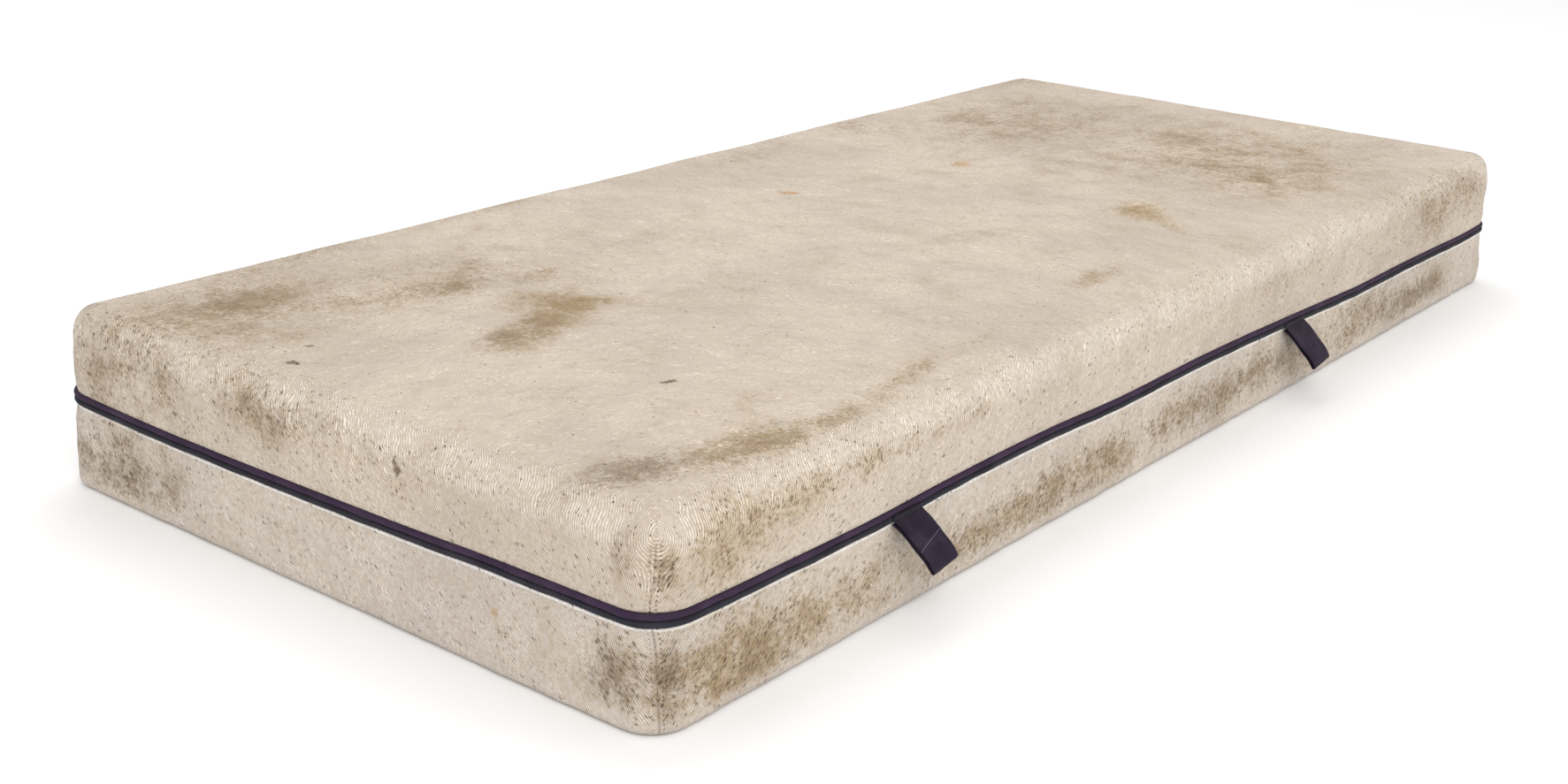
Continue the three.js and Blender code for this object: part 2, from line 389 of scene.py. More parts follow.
# Small spots in cells of the given size, in the share of the cells that Density says.
def makeFlecks():
    group, given, result = newGroup(
        "flecks",
        [("Place", "Vector", None), ("Density", "Float", 0.2), ("Size", "Float", 0.3)],
        [("Mask", "Float")])
    cells = makeNode(group, "ShaderNodeTexVoronoi", voronoi_dimensions="2D", feature="F1")
    cells.inputs["Scale"].default_value = 1.0
    cells.inputs["Randomness"].default_value = 0.9
    feed(group, cells.inputs["Vector"], given["Place"])
    parts = makeNode(group, "ShaderNodeSeparateColor")
    feed(group, parts.inputs[0], cells.outputs["Color"])
    chosen = calc(group, "LESS_THAN", parts.outputs[0], given["Density"])
    size = times(group, given["Size"], calc(group, "MULTIPLY_ADD", parts.outputs[1], 1.05, 0.25))
    spot = fade(group, cells.outputs["Distance"], size, times(group, size, 0.35))
    faintness = calc(group, "MULTIPLY_ADD", parts.outputs[2], 0.6, 0.4)
    feed(group, result["Mask"], times(group, times(group, spot, chosen), faintness))
    return group


# Fine parallel ribs, a little uneven.
def makeRibs():
    group, given, result = newGroup(
        "ribs",
        [("Across", "Float", 0.0), ("Place", "Vector", None), ("Pitch", "Float", 2.0),
         ("Waver", "Float", 0.4)],
        [("Height", "Float")])
    lump = calc(group, "SUBTRACT", cloud(group, given["Place"], 9), 0.5)
    waver = times(group, lump, given["Waver"])
    turns = calc(group, "DIVIDE", calc(group, "ADD", given["Across"], waver), given["Pitch"])
    wave = calc(group, "COSINE", times(group, turns, 2 * math.pi))
    feed(group, result["Height"], calc(group, "MULTIPLY_ADD", wave, 0.5, 0.5))
    return group


# Dust and lint that lighten a dark cloth in patches.
def makeDust():
    group, given, result = newGroup(
        "dust",
        [("Colour", "Color", None), ("Dust", "Color", (0.3, 0.27, 0.25, 1)),
         ("Amount", "Float", 0.3), ("Place", "Vector", None)],
        [("Colour", "Color")])
    patches = fade(group, cloud(group, given["Place"], 28, 4), 0.42, 0.72)
    lint = fade(group, cloud(group, given["Place"], 1.6, 2), 0.55, 0.8)
    both = calc(group, "MULTIPLY", calc(group, "ADD", patches, lint), given["Amount"], clamp=True)
    feed(group, result["Colour"], mixColours(group, both, given["Colour"], given["Dust"]))
    return group


stainPatch, flecks, ribs, dust = makeStainPatch(), makeFlecks(), makeRibs(), makeDust()


# the cover: cream knit with ridges like a fingerprint, and its stains

cover = {
    "cream": (0.798, 0.70, 0.592),
    "greyer": (0.68, 0.592, 0.505),
    "mottleSize": 230,
    "browner": (0.58, 0.475, 0.355),
    "blotchSize": 60,
    # painted highlight along the rounded top edge, also used for a pale band just above the tapes
    "paleEdgeHighlight": (0.90, 0.825, 0.73),
    "lowerGrey": (0.806, 0.74, 0.673),
    "lowerCool": (0.714, 0.663, 0.632),
    "ridgePitch": 3.2,
    "sideSlant": 0.8,
    "slantFrom": 25,
    "ridgeRise": 0.78,
    # painted shade between the ridges: how strong, and its colour
    "grooveShade": 0.80,
    "grooveShadeColour": (0.30, 0.22, 0.14),
    "wispsFrom": 12,  # how far in from the edge the ridges break up
    "wispsFully": 60,
    "sideWaver": (14, 3),
    "topWaver": (50, 8),
    "looserAway": 2.4,  # how much more the ridges stray away from the corner
    "looserBetween": (90, 520),
    "roughness": 0.95,
    "threadSize": 13,
    "fibreSize": 3.2,
    "stainRagged": (3.4, 4.4, 3.0),  # by the blotches, the threads and the fibres
    "fleckColour": (0.07, 0.047, 0.029),
    "fleckStrength": 0.9,
    "wispColour": (0.20, 0.14, 0.085),
    "wispStrength": 0.85,
    "wispsOnClean": 0.12,
    "hazeShare": 0.45,
    "topRidges": 0.68,
    # painted shade: the whole top is made a little darker than the sides
    "topPaintedShade": (0.903, 0.893, 0.879),
    "sideFleckCell": (4.2, 6.0),  # along and down
    "sideFleckShare": 0.23,
    "topFleckCell": 6.5,
    "topFleckShare": 0.14,
    "lipHighlightColour": (0.91, 0.89, 0.86),  # a painted highlight: the pale edge just under the tapes
    "lipHighlightBetween": (-11, -9.2),
    "lipHighlightStrength": 0.62,
    "seamColour": (0.22, 0.165, 0.11),
    "seamStrength": 0.6,
    "seamEnds": (216, 208),  # how far below the shoulder, so that none runs on across the base
    "holePitch": 4.6,
    "holesFromSeam": 4.6,
    "holeStrength": 0.8,
}

# soft stains on the top: x, y, reach along and across, turn in degrees, brown, grey, yellow
topStains = (
    (-627, 28, 56, 43, 46, 0.8, 0, 0.7),  # the big one and its tails
    (-675, -1, 76, 23, 32, 0.7, 0.1, 0.35),
    (-570, 17, 48, 17, -53, 0.5, 0, 0.4),
    (-622, 89, 24, 22, 55, 0.5, 0, 0.3),
    (-748, 0, 60, 27, 18, 0.45, 0.35, 0),
    (-699, 2, 55, 24, 26, 0.4, 0.2, 0.1),
    (-664, 177, 53, 33, -2, 0.45, 0.35, 0),  # streaks behind it
    (-583, 223, 37, 14, 39, 0.45, 0.35, 0),
    (-549, 141, 56, 25, 3, 0.35, 0.15, 0),
    (-905, 307, 90, 68, 47, 0.42, 0.2, 0.1),  # the far left corner
    (-853, 319, 66, 40, 36, 0.28, 0.2, 0.05),
    (-700, 407, 136, 25, 9, 0.3, 0.2, 0),  # along the edge behind
    (-355, 421, 176, 27, 2, 0.35, 0.1, 0),
    (90, 361, 90, 33, 7, 0.4, 0.1, 0),
    (400, 387, 70, 26, 3, 0.35, 0.1, 0),
    (-914, -350, 60, 32, -16, 0.4, 1.0, 0),  # mildew at the near corner
    (-892, -352, 26, 16, -12, 0.2, 0.6, 0),
    (-811, -380, 80, 36, -11, 0.85, 0.35, 0.3),
    (-702, -400, 80, 20, -2, 0.6, 0.3, 0.25),
    (-527, -380, 73, 14, 12, 0.5, 0.1, 0.1),  # along the near edge
    (-388, -376, 61, 14, 10, 0.4, 0.1, 0.1),
    (-79, -340, 63, 19, 4, 0.6, 0.1, 0.2),
    (239, -224, 50, 32, 15, 0.5, 0, 1.0),  # the rusty one
    (213, -277, 59, 16, 48, 0.3, 0, 0.5),
    (559, -168, 55, 36, -53, 0.45, 0.15, 0.15),  # part of a ring
    (535, -260, 86, 14, 40, 0.4, 0.2, 0.1),
    (655, -164, 270, 180, 3, 0.54, 0.17, 0.18),  # faint broad ones
    (632, 241, 240, 180, -2, 0.38, 0.2, 0.04),
    (560, 120, 430, 330, 0, 0.16, 0.1, 0),
    (560, -330, 190, 90, 5, 0.2, 0.05, 0.1),
    (-30, -127, 76, 55, -32, 0.25, 0.1, 0),
    (-825, 280, 173, 151, 8, 0.45, 0.15, 0.05),
    (-560, 230, 260, 150, 10, 0.25, 0.08, 0.1),
    (-833, -135, 78, 52, -48, 0.2, 0.05, 0.1),
    (-651, -327, 164, 85, -7, 0.18, 0, 0.1),
    (930, 390, 70, 60, 20, 0.4, 0.2, 0),
)

# soft stains on the sides: x, y, z, reach along, across and up, brown, grey, yellow
sideStains = (
    (-994, 340, 165, 30, 125, 36, 0.4, 0.3, 0),  # on the left end
    (-994, 95, 176, 30, 52, 34, 0.34, 0.2, 0),
    (-994, -406, 170, 30, 15, 26, 0.35, 0.45, 0),
    (-994, -404, 52, 30, 34, 38, 0.45, 0.95, 0),
    (-994, 350, 40, 30, 130, 44, 0.3, 0.65, 0),
    (-994, 54, 55, 30, 26, 14, 0.3, 0.4, 0),
    (-994, -263, 47, 30, 14, 9, 0.3, 0.5, 0),
    (-972, -450, 158, 11, 30, 24, 0.35, 1.0, 0),  # on the side with the straps
    (-868, -450, 165, 118, 30, 40, 0.4, 0.05, 0.3),
    (-928, -450, 151, 59, 30, 34, 0.2, 0.05, 0.2),
    (-972, -450, 54, 13, 30, 36, 0.4, 1.1, 0),
    (-926, -450, 46, 61, 30, 41, 0.65, 0.1, 0.6),
    (-798, -450, 42, 148, 30, 43, 0.5, 0.15, 0.35),
    (-530, -450, 36, 80, 30, 20, 0.4, 0.15, 0.2),
    (-340, -450, 34, 110, 30, 24, 0.7, 0.25, 0.2),
    (-230, -450, 50, 60, 30, 22, 0.5, 0.15, 0.2),
    (-60, -450, 50, 70, 30, 24, 0.5, 0.2, 0.1),
    (92, -450, 52, 120, 30, 20, 0.7, 0.35, 0.1),
    (710, -450, 40, 120, 30, 22, 0.6, 0.6, 0),
    (795, -450, 168, 175, 30, 38, 0.34, 0.18, 0.1),
    (-724, -450, 177, 126, 30, 13, 0.45, 0.05, 0.2),
    (-529, -450, 177, 97, 30, 12, 0.35, 0.05, 0.1),
    (218, -450, 161, 106, 30, 14, 0.3, 0.15, 0),
    (-994, 0, 176, 40, 170, 40, 0.3, 0.15, 0.05),  # broad and faint ones on the sides
    (-994, 330, 100, 40, 150, 90, 0.22, 0.12, 0),
    (-300, -450, 40, 560, 30, 46, 0.34, 0.08, 0.22),
    (470, -450, 46, 330, 30, 48, 0.55, 0.25, 0.2),
    (-880, -450, 60, 90, 30, 60, 0.2, 0.1, 0.15),
    (800, -450, 150, 240, 30, 60, 0.25, 0.1, 0),
    (994, 180, 60, 30, 150, 34, 0.4, 0.3, 0),  # guessed, on the sides that don't show
    (994, -250, 165, 30, 90, 24, 0.35, 0.2, 0.1),
    (420, 450, 45, 190, 30, 24, 0.4, 0.3, 0),
    (-300, 450, 165, 160, 30, 22, 0.35, 0.15, 0.1),
    (-780, 450, 50, 110, 30, 30, 0.35, 0.4, 0),
    (994, 20, 48, 30, 260, 34, 0.38, 0.2, 0.1),
    (994, -330, 60, 30, 60, 40, 0.3, 0.35, 0),
    (994, 300, 170, 30, 90, 30, 0.35, 0.15, 0.05),
    (80, 450, 44, 420, 30, 32, 0.34, 0.12, 0.12),
    (-600, 450, 46, 220, 30, 30, 0.4, 0.2, 0.1),
    (700, 450, 165, 150, 30, 26, 0.35, 0.1, 0.1),
    (900, 450, 60, 90, 30, 44, 0.3, 0.4, 0),
)
topStainAt = (212, 45)  # height and reach up of the stains on the top
stainTints = {
    "brown": (0.595, 0.485, 0.325), "grey": (0.47, 0.435, 0.39), "yellow": (0.94, 0.81, 0.52)}

# sharp spots: place, reach, turn in degrees, tint beside the clean cloth
spots = [
    {"place": (-938, 101, 212), "reach": (7, 6, 20), "turn": -50, "tint": (0.10, 0.075, 0.055)},
    {"place": (-893, 131, 212), "reach": (4, 3.5, 20), "turn": -50, "tint": (0.25, 0.19, 0.14)},
    {"place": (-720, -220, 212), "reach": (7.5, 6, 20), "turn": -50, "tint": (0.15, 0.10, 0.06)},
    {"place": (-32, 175, 212), "reach": (11, 9, 20), "turn": -40, "tint": (0.80, 0.50, 0.27)},
    {"place": (284, 101, 212), "reach": (22, 13, 20), "turn": 4, "tint": (0.84, 0.64, 0.42)},
    {"place": (-994, -115, 177), "reach": (14, 3, 4), "turn": 0, "tint": (0.13, 0.105, 0.08)},
    {"place": (-994, -118, 170), "reach": (14, 4.2, 5.5), "turn": 0, "tint": (0.11, 0.09, 0.07)},
    {"place": (-994, -253, 63), "reach": (14, 8, 5), "turn": 0, "tint": (0.82, 0.62, 0.40)},
]


# How brown, grey and yellow the soft stains make each point.
def stainShares(points):
    shares = np.zeros((len(points), 3))
    stains = [(x, y, topStainAt[0], reachX, reachY, topStainAt[1], turn, *strengths)
              for x, y, reachX, reachY, turn, *strengths in topStains]
    stains += [(*row[:6], 0, *row[6:]) for row in sideStains]
    for x, y, z, reachX, reachY, reachZ, turn, *strengths in stains:
        away = points - (x, y, z)
        cosine, sine = math.cos(math.radians(turn)), math.sin(math.radians(turn))
        first = (away[:, 0] * cosine + away[:, 1] * sine) / reachX
        second = (away[:, 1] * cosine - away[:, 0] * sine) / reachY
        fall = np.exp(-1.1 * (first**2 + second**2 + (away[:, 2] / reachZ) ** 2))
        shares += fall[:, None] * np.array(strengths)
    clean = 1 - 0.7 * smoothStep(24, 7, points[:, 2:])  # less dirt just above the floor
    return 1.2 * shares / (1 + 0.25 * shares) * clean


def makeCoverMaterial(values):
    material, tree, shader = newMaterial("coverKnit", values["roughness"], sheen=0.15, specular=0.2)
    place = readPlace(tree)
    path, depth, fromCorner, aboveTape = (
        readValue(tree, label) for label in ("ridgePath", "depth", "fromCorner", "aboveTape"))
    brown, grey, yellow = (readValue(tree, label) for label in ("brown", "grey", "yellow"))
    onTop = fade(tree, depth, -values["wispsFrom"], -values["wispsFully"])

    # ridges, wavering on the sides and breaking up into wisps on the top
    broad = calc(tree, "SUBTRACT", cloud(tree, place, 50), 0.5)
    narrow = calc(tree, "SUBTRACT", cloud(tree, place, 9), 0.5)
    looser = fade(tree, path, *values["looserBetween"], 1.0, values["looserAway"])
    waver = []
    for lump, side, top in zip((broad, narrow), values["sideWaver"], values["topWaver"]):
        reach = mixValues(tree, onTop, times(tree, looser, float(side)), float(top))
        waver.append(times(tree, lump, reach))
    wandered = calc(tree, "ADD", path, calc(tree, "ADD", *waver))
    turns = calc(tree, "DIVIDE", wandered, values["ridgePitch"])
    wave = calc(tree, "COSINE", times(tree, turns, 2 * math.pi))
    broken = fade(tree, cloud(tree, place, 5.0), 0.36, 0.6, mixValues(tree, onTop, 0.2, 0.0), 1.0)
    rounded = calc(tree, "POWER", calc(tree, "MULTIPLY_ADD", wave, 0.5, 0.5), 0.8)
    ridge = times(tree, rounded, broken)

    # the cloth's own colour and how use has changed it from place to place, with painted shade over
    # the top, a painted highlight along the top edge and just under the tapes, and a pale band just
    # above the tapes
    mottled = fade(tree, cloud(tree, place, values["mottleSize"], 4, 0.62), 0.38, 0.66)
    blotches = cloud(tree, place, values["blotchSize"], 5, 0.65)
    colour = mixColours(tree, mottled, values["cream"], values["greyer"])
    lower = mixColours(tree, mottled, values["lowerGrey"], values["lowerCool"])
    colour = mixColours(tree, fade(tree, aboveTape, -2, -14, 0.0, 0.7), colour, lower)
    colour = mixColours(tree, fade(tree, blotches, 0.5, 0.78, 0.0, 0.6), colour, values["browner"])
    # painted shade: the top darkened against the sides
    colour = mixColours(tree, onTop, colour, values["topPaintedShade"], "MULTIPLY")
    # painted highlight along the rounded top edge, with a weaker pale band just above the tapes,
    # uneven with the blotches
    nearEdge = times(tree, fade(tree, depth, -34, -6), fade(tree, depth, 30, 8))
    aboveSeam = times(tree, fade(tree, aboveTape, 30, 8), fade(tree, aboveTape, 2, 8))
    edgeHighlightAndBand = calc(tree, "MAXIMUM", nearEdge, times(tree, aboveSeam, 0.4))
    edgeHighlightAndBand = times(tree, edgeHighlightAndBand, fade(tree, blotches, 0.68, 0.34, 0.35, 0.75))
    colour = mixColours(tree, edgeHighlightAndBand, colour, values["paleEdgeHighlight"])
    # painted highlight on the cover just under the tapes
    lipHighlight = times(tree, fade(tree, aboveTape, *values["lipHighlightBetween"]), fade(tree, aboveTape, 0, -4))
    colour = tinted(tree, colour, lipHighlight, values["lipHighlightStrength"], values["lipHighlightColour"])

    # stains with ragged edges, stronger between the ridges
    wander = cloud(tree, place, 11, 3, 0.65, colour=True)
    wander = calcVector(tree, "SUBTRACT", wander, (0.5, 0.5, 0.5))
    threads = cloud(tree, place, values["threadSize"], 4, 0.7)
    fibres = cloud(tree, place, values["fibreSize"], 3, 0.7)
    ragged, hazy = 1.0, calc(tree, "MULTIPLY_ADD", calc(tree, "SUBTRACT", blotches, 0.5), 3.0, 0.9)
    for noise, strength in zip((blotches, threads, fibres), values["stainRagged"]):
        swing = calc(tree, "SUBTRACT", noise, 0.5)
        ragged = calc(tree, "ADD", ragged, times(tree, swing, strength))
    ragged = times(tree, ragged, calc(tree, "MULTIPLY_ADD", ridge, -0.9, 1.5))
    dirt = 0.0
    for share, tint in ((brown, "brown"), (grey, "grey"), (yellow, "yellow")):
        marked = fade(tree, times(tree, share, ragged), 0.0, 1.5)
        haze = fade(tree, times(tree, share, hazy), 0.0, 1.1)
        mask = mixValues(tree, values["hazeShare"], marked, haze)
        colour = mixColours(tree, mask, colour, stainTints[tint], "MULTIPLY")
        dirt = calc(tree, "MAXIMUM", dirt, marked)
    for spot in spots:
        mask = useGroup(tree, stainPatch, {
            "Place": place, "Wander": wander, "Centre": spot["place"], "Reach": spot["reach"],
            "Turn": math.radians(spot["turn"]), "Softness": 0.45, "Ragged": 4.2})["Mask"]
        colour = mixColours(tree, mask, colour, spot["tint"], "MULTIPLY")

    # little dark flecks between the ridges, thin wisps where dirt has settled, and painted shade
    # between the ridges
    patchy = fade(tree, threads, 0.38, 0.64, 0.05, 1.7)
    between = calc(tree, "SUBTRACT", 1.2, ridge, clamp=True)
    sidePlace = makeNode(tree, "ShaderNodeCombineXYZ")
    beside = calc(tree, "ADD", readValue(tree, "slantPath"), waver[0])
    feed(tree, sidePlace.inputs[0], calc(tree, "DIVIDE", beside, values["sideFleckCell"][0]))
    feed(tree, sidePlace.inputs[1], calc(tree, "DIVIDE", depth, values["sideFleckCell"][1]))
    sideShare = times(tree, patchy, values["sideFleckShare"])
    sideFlecks = useGroup(tree, flecks, {
        "Place": sidePlace.outputs[0], "Size": calc(tree, "MULTIPLY_ADD", dirt, 0.2, 0.36),
        "Density": calc(tree, "MULTIPLY_ADD", dirt, 0.8, sideShare)})["Mask"]
    topPlace = calcVector(tree, "ADD", place, calcVector(tree, "SCALE", wander, 9.0))
    topShare = times(tree, patchy, values["topFleckShare"])
    topFlecks = useGroup(tree, flecks, {
        "Place": calcVector(tree, "SCALE", topPlace, 1 / values["topFleckCell"]), "Size": 0.2,
        "Density": calc(tree, "MULTIPLY_ADD", dirt, 0.5, topShare)})["Mask"]
    marks = times(tree, mixValues(tree, onTop, sideFlecks, topFlecks), between)
    strand = calc(tree, "ABSOLUTE", calc(tree, "SUBTRACT", cloud(tree, place, 8, 2, 0.6), 0.5))
    wisps = times(tree, fade(tree, strand, 0.024, 0.004), fade(tree, fibres, 0.44, 0.6))
    wisps = times(tree, wisps, fade(tree, dirt, 0.1, 0.8, values["wispsOnClean"], 1.0))
    colour = tinted(tree, colour, wisps, values["wispStrength"], values["wispColour"])

    # painted shade between the ridges, stronger where there is dirt, weaker on the top and just
    # under the tapes
    grooveShadeAndDirt = calc(tree, "MULTIPLY_ADD", dirt, 0.3, values["grooveShade"])
    groove = times(tree, calc(tree, "SUBTRACT", 1.0, ridge), grooveShadeAndDirt)
    groove = times(tree, groove, mixValues(tree, onTop, 1.0, values["topRidges"]))
    groove = times(tree, groove, calc(tree, "SUBTRACT", 1.0, lipHighlight))
    colour = mixColours(tree, groove, colour, mixColours(tree, 0.8, colour, values["grooveShadeColour"]))
    colour = tinted(tree, colour, marks, values["fleckStrength"], values["fleckColour"])

    # the corner seams, with needle holes on both sides of them
    below = times(tree, fade(tree, depth, 4, 12), fade(tree, depth, *values["seamEnds"]))
    fromCorner = calc(tree, "ADD", fromCorner, times(tree, narrow, 0.8))
    seam = times(tree, fade(tree, calc(tree, "ABSOLUTE", fromCorner), 0.8, 0.2), below)
    colour = tinted(tree, colour, seam, values["seamStrength"], values["seamColour"])
    fromHoles = calc(tree, "SUBTRACT", calc(tree, "ABSOLUTE", fromCorner), values["holesFromSeam"])
    beside = times(tree, fade(tree, calc(tree, "ABSOLUTE", fromHoles), 0.95, 0.3),
                  fade(tree, fromCorner, -1, 1, 0.5, 1.0))
    beat = calc(tree, "FRACT", calc(tree, "DIVIDE", depth, values["holePitch"]))
    hole = fade(tree, calc(tree, "ABSOLUTE", calc(tree, "SUBTRACT", beat, 0.5)), 0.24, 0.06)
    holes = times(tree, times(tree, beside, hole), below)
    colour = tinted(tree, colour, holes, values["holeStrength"], values["fleckColour"])
    feed(tree, shader["Base Color"], colour)

    pits = calc(tree, "MAXIMUM", marks, holes)
    height = calc(tree, "SUBTRACT", ridge, times(tree, pits, 1.0))
    crumple = times(tree, cloud(tree, place, 22, 2), 1.2)
    felted = times(tree, strand, calc(tree, "MULTIPLY_ADD", dirt, 7.0, 1.5))
    height = calc(tree, "ADD", height, calc(tree, "ADD", crumple, felted))
    addBump(tree, shader, height, values["ridgeRise"])
    return material


# the cover's mesh: rings from the middle of the base round the sides to the middle of the top

coverRings = {
    "innermost": 448,  # how far in from the outline the last ring lies, on the base and on the top
    "baseInsets": (300, 150, 60, 25),
    "baseTurns": (0, 18, 36, 54, 72, 90),
    "halfChannel": 7.3,  # half the height of the channel for the tapes
    "lowerSteps": 11,
    "upperSteps": 8,
    "beyondSeam": (20, 14, 9, 6, 3.5, 1.5, 0),
    "topTurnSteps": 14,
    "topSpacing": 9.5,
    "lumpSize": (240, 90, 35),
    "lumpSeed": (3, 5, 8),
    "lumpRise": (0.9, 0.5, 0.3),  # on the top
    "sideRise": (0.8, 0.7, 0.5),
    "crumpleRise": 0.9,  # extra lumps low on the strap side and at its far end
    "crumpleSize": 42,
    "crumpleSeed": 12,
    "shoulder": 40,  # degrees round the top edge
    "endBulge": 5,  # rounds the ends of the innermost ring, so that no face there is without area
}


def countTopRings(values):
    return round((values["innermost"] - body["topEdgeRadius"]) / values["topSpacing"])


def makeCoverPoints(values):
    height, baseRadius, edgeRadius = body["height"], body["baseEdgeRadius"], body["topEdgeRadius"]
    gap = values["halfChannel"]
    rings = []

    def addRing(z, inset, arcInset=0.0, pull=0.0, crowned=False, soft=1.0):
        z = np.broadcast_to(z, levelHere.shape).astype(float)
        radius = max(body["cornerRadius"] - arcInset, body["smallestCorner"])
        endBulge = values["endBulge"] if arcInset >= values["innermost"] else 0
        x, y = planPoints(inset + arcInset, radius, pull, z, endBulge)
        if crowned:
            z = z + crown(x, y)
        rings.append((np.stack([x, y, z], axis=1), soft))

    for inset in (values["innermost"], *values["baseInsets"]):
        addRing(0, 1, inset, soft=0)
    for degrees in values["baseTurns"]:
        turn = math.radians(degrees)
        z = baseRadius * (1 - math.cos(turn))
        addRing(z, float(drawnIn(z)), baseRadius * (1 - math.sin(turn)),
                body["seamDepth"] * math.sin(turn), soft=math.sin(turn) * 0.5)
    lowest = levelHere - gap - values["beyondSeam"][0]
    for step in range(1, values["lowerSteps"]):
        z = baseRadius + (lowest - baseRadius) * step / values["lowerSteps"]
        addRing(z, drawnIn(z), pull=body["seamDepth"])
    pulled = smoothTable(pulledIn["beyond"], pulledIn["inset"])
    for beyond in values["beyondSeam"]:
        z = levelHere - gap - beyond
        addRing(z, drawnIn(z) + pulled(beyond), pull=body["seamDepth"], soft=beyond / 20)
    addRing(levelHere - gap + 0.3, tapeInset + body["channelDepth"], soft=0)
    addRing(levelHere + gap - 0.3, tapeInset + body["channelDepth"], soft=0)
    for beyond in reversed(values["beyondSeam"]):
        z = levelHere + gap + beyond
        addRing(z, drawnIn(z) + pulled(beyond), pull=body["seamDepth"], soft=beyond / 20)
    highest = levelHere + gap + values["beyondSeam"][0]
    edgeStart = height - edgeRadius
    for step in range(1, values["upperSteps"]):
        z = highest + (edgeStart - highest) * step / values["upperSteps"]
        addRing(z, drawnIn(z), pull=body["seamDepth"])
    for step in range(values["topTurnSteps"] + 1):
        turn = math.pi / 2 * step / values["topTurnSteps"]
        z = height - edgeRadius * (1 - math.sin(turn))
        addRing(z, float(drawnIn(z)), edgeRadius * (1 - math.cos(turn)),
                body["seamDepth"] * math.cos(turn), crowned=step == values["topTurnSteps"])
    topCount = countTopRings(values)
    for step in range(1, topCount + 1):
        arcInset = edgeRadius + (values["innermost"] - edgeRadius) * step / topCount
        addRing(height, 0, arcInset, crowned=True)
    return np.stack([ring[0] for ring in rings]), np.array([ring[1] for ring in rings])


def gridFaces(rows, count):
    row, here = np.meshgrid(np.arange(rows - 1), np.arange(count), indexing="ij")
    after = (here + 1) % count
    return np.stack([row * count + here, row * count + after, (row + 1) * count + after,
                     (row + 1) * count + here], axis=-1).reshape(-1, 4)


# Closes the narrow slot inside the last ring with faces from one long side to the other.
def bridgeFaces(start, count, flipped):
    here = np.arange(count // 2 - 1)
    there = start + count - here - 1
    faces = np.stack([start + here, start + here + 1, there - 1, there], axis=-1)
    return faces[:, ::-1] if flipped else faces


# How far points lie in from the mattress's outermost outline.
def insetOf(points):
    return np.minimum(body["length"] / 2 - np.abs(points[..., 0]),
                      body["width"] / 2 - np.abs(points[..., 1]))


